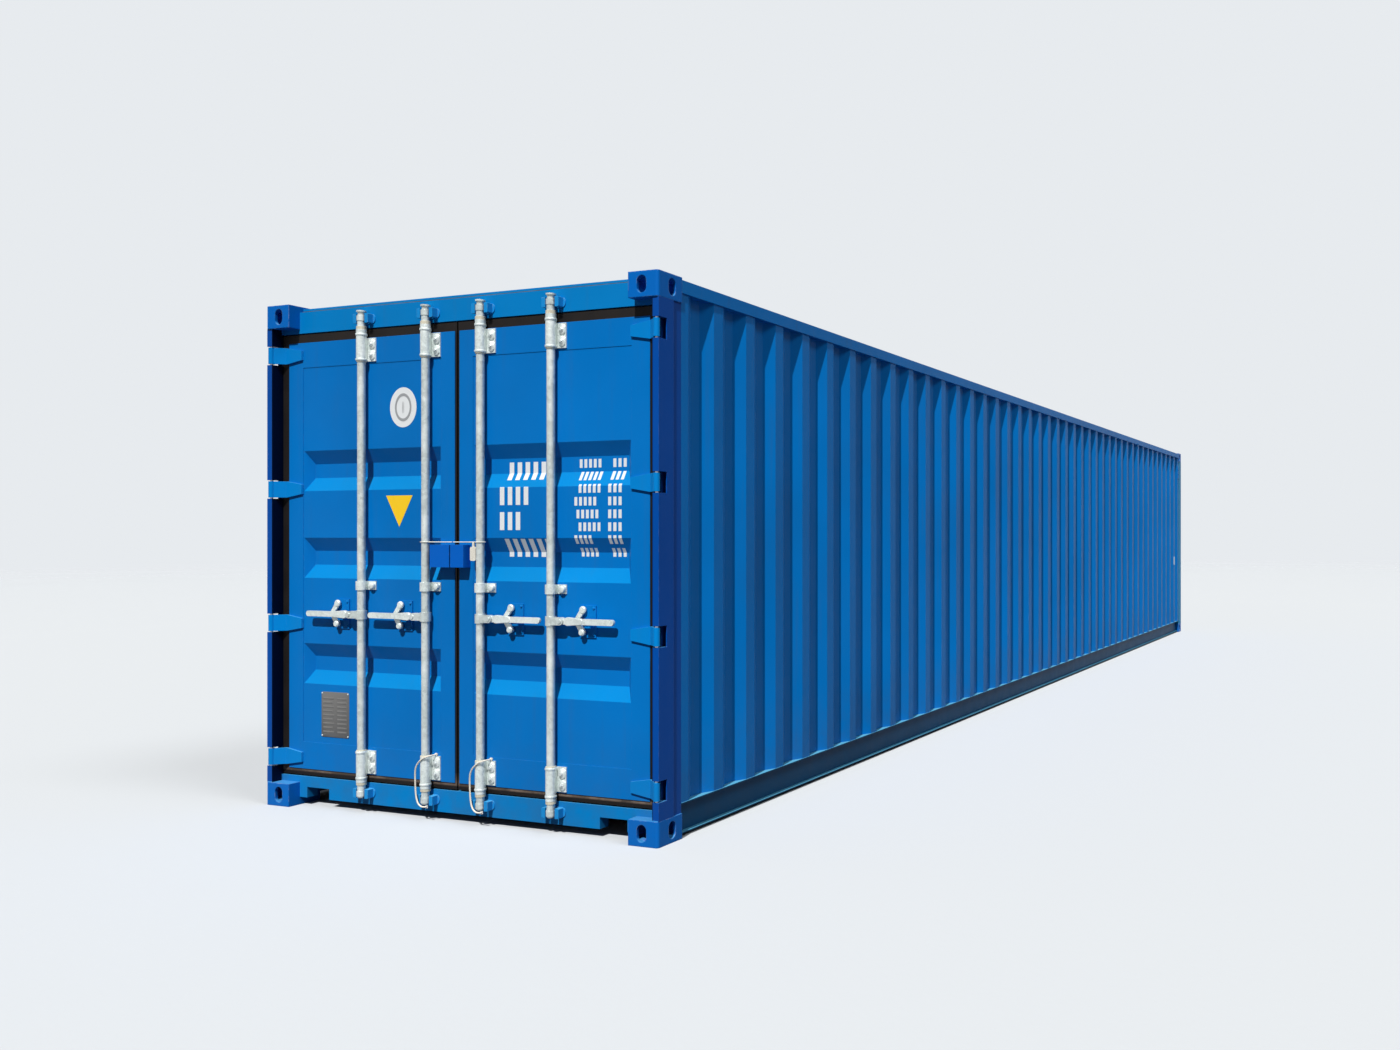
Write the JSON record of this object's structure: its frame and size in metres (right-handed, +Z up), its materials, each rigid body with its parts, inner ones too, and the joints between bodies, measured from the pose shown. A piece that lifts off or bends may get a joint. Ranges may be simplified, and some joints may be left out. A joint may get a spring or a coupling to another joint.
{
  "type": "shipping container",
  "caption": "Long corrugated steel freight container with castings at its corners and double end doors held by upright locking bars with folding handles.",
  "frame": {"origin": "centre of the footprint on the ground", "axes": "+Z up, -Y out of the doors, +X to the right seen from outside the doors"},
  "size_m": [2.438, 12.192, 2.591],
  "materials": {
    "blue_door": "satin",
    "blue_frame": "satin",
    "blue_wall": "satin",
    "blue_roof": "satin",
    "undercoat": "satin",
    "galvanised": "satin",
    "pin_steel": "satin",
    "seal_rubber": "matte",
    "plywood": "matte",
    "seal_plastic": "satin",
    "rope_fibre": "matte"
  },
  "bodies": {
    "frame": {"corner_castings_top": "blue_frame", "corner_castings_bottom": "blue_frame", "door_posts": "blue_frame", "blind_posts": "blue_frame", "top_rails": "blue_wall", "bottom_rails": "blue_wall", "door_header": "blue_frame", "door_sill": "blue_frame", "blind_header": "blue_frame", "blind_sill": "blue_frame", "cross_members": "undercoat", "gooseneck_tunnel": "undercoat", "floor": "plywood", "side_wall_right": "blue_wall", "side_wall_left": "blue_wall", "blind_wall": "blue_wall", "roof": "blue_roof", "roof_end_plates": "blue_roof", "side_vents": "blue_wall", "cam_keepers": "blue_frame", "hinge_pins": "pin_steel"},
    "left_door": {"door_frame_left": "blue_door", "door_panel_left": "blue_door", "door_gasket_left": "seal_rubber", "hinge_blades_left": "blue_frame", "bar_brackets_left": "galvanised", "handle_retainers_left": "blue_door", "lock_box_left": "blue_door", "seal_wire_left": "seal_plastic", "rope_left": "rope_fibre"},
    "right_door": {"door_frame_right": "blue_door", "door_panel_right": "blue_door", "door_gasket_right": "seal_rubber", "hinge_blades_right": "blue_frame", "bar_brackets_right": "galvanised", "handle_retainers_right": "blue_door", "lock_box_right": "blue_door", "seal_wire_right": "seal_plastic", "rope_right": "rope_fibre"},
    "bar_1": {"lock_bar_1": "galvanised"},
    "handle_1": {"handle_1": "galvanised"},
    "catch_1": {"handle_catch_1": "galvanised"},
    "bar_2": {"lock_bar_2": "galvanised"},
    "handle_2": {"handle_2": "galvanised"},
    "catch_2": {"handle_catch_2": "galvanised"},
    "bar_3": {"lock_bar_3": "galvanised"},
    "handle_3": {"handle_3": "galvanised"},
    "catch_3": {"handle_catch_3": "galvanised"},
    "bar_4": {"lock_bar_4": "galvanised"},
    "handle_4": {"handle_4": "galvanised"},
    "catch_4": {"handle_catch_4": "galvanised"}
  },
  "joints": [
    {"name": "left_door_swing", "type": "hinge", "parent": "frame", "child": "left_door", "pos_m": [-1.2, -6.08, 1.3], "axis": [0, 0, -1], "range_deg": [0, 265]},
    {"name": "right_door_swing", "type": "hinge", "parent": "frame", "child": "right_door", "pos_m": [1.2, -6.08, 1.3], "axis": [0, 0, 1], "range_deg": [0, 265]},
    {"name": "bar_1_turn", "type": "hinge", "parent": "left_door", "child": "bar_1", "pos_m": [-0.594, -6.063, 1.3], "axis": [0, 0, -1], "range_deg": [-100, 0]},
    {"name": "handle_1_lift", "type": "hinge", "parent": "bar_1", "child": "handle_1", "pos_m": [-0.66, -6.07, 1], "axis": [0, -1, 0], "range_deg": [-30, 0]},
    {"name": "catch_1_swing", "type": "hinge", "parent": "left_door", "child": "catch_1", "pos_m": [-0.769, -6.051, 0.95], "axis": [0, 1, 0], "range_deg": [-40, 0]},
    {"name": "bar_2_turn", "type": "hinge", "parent": "left_door", "child": "bar_2", "pos_m": [-0.172, -6.063, 1.3], "axis": [0, 0, -1], "range_deg": [-100, 0]},
    {"name": "handle_2_lift", "type": "hinge", "parent": "bar_2", "child": "handle_2", "pos_m": [-0.238, -6.07, 1], "axis": [0, -1, 0], "range_deg": [-30, 0]},
    {"name": "catch_2_swing", "type": "hinge", "parent": "left_door", "child": "catch_2", "pos_m": [-0.347, -6.051, 0.95], "axis": [0, 1, 0], "range_deg": [-40, 0]},
    {"name": "bar_3_turn", "type": "hinge", "parent": "right_door", "child": "bar_3", "pos_m": [0.172, -6.063, 1.3], "axis": [0, 0, 1], "range_deg": [-100, 0]},
    {"name": "handle_3_lift", "type": "hinge", "parent": "bar_3", "child": "handle_3", "pos_m": [0.238, -6.07, 1], "axis": [0, 1, 0], "range_deg": [-30, 0]},
    {"name": "catch_3_swing", "type": "hinge", "parent": "right_door", "child": "catch_3", "pos_m": [0.347, -6.051, 0.95], "axis": [0, 1, 0], "range_deg": [-40, 0]},
    {"name": "bar_4_turn", "type": "hinge", "parent": "right_door", "child": "bar_4", "pos_m": [0.594, -6.063, 1.3], "axis": [0, 0, 1], "range_deg": [-100, 0]},
    {"name": "handle_4_lift", "type": "hinge", "parent": "bar_4", "child": "handle_4", "pos_m": [0.66, -6.07, 1], "axis": [0, 1, 0], "range_deg": [-30, 0]},
    {"name": "catch_4_swing", "type": "hinge", "parent": "right_door", "child": "catch_4", "pos_m": [0.769, -6.051, 0.95], "axis": [0, 1, 0], "range_deg": [-40, 0]}
  ]
}
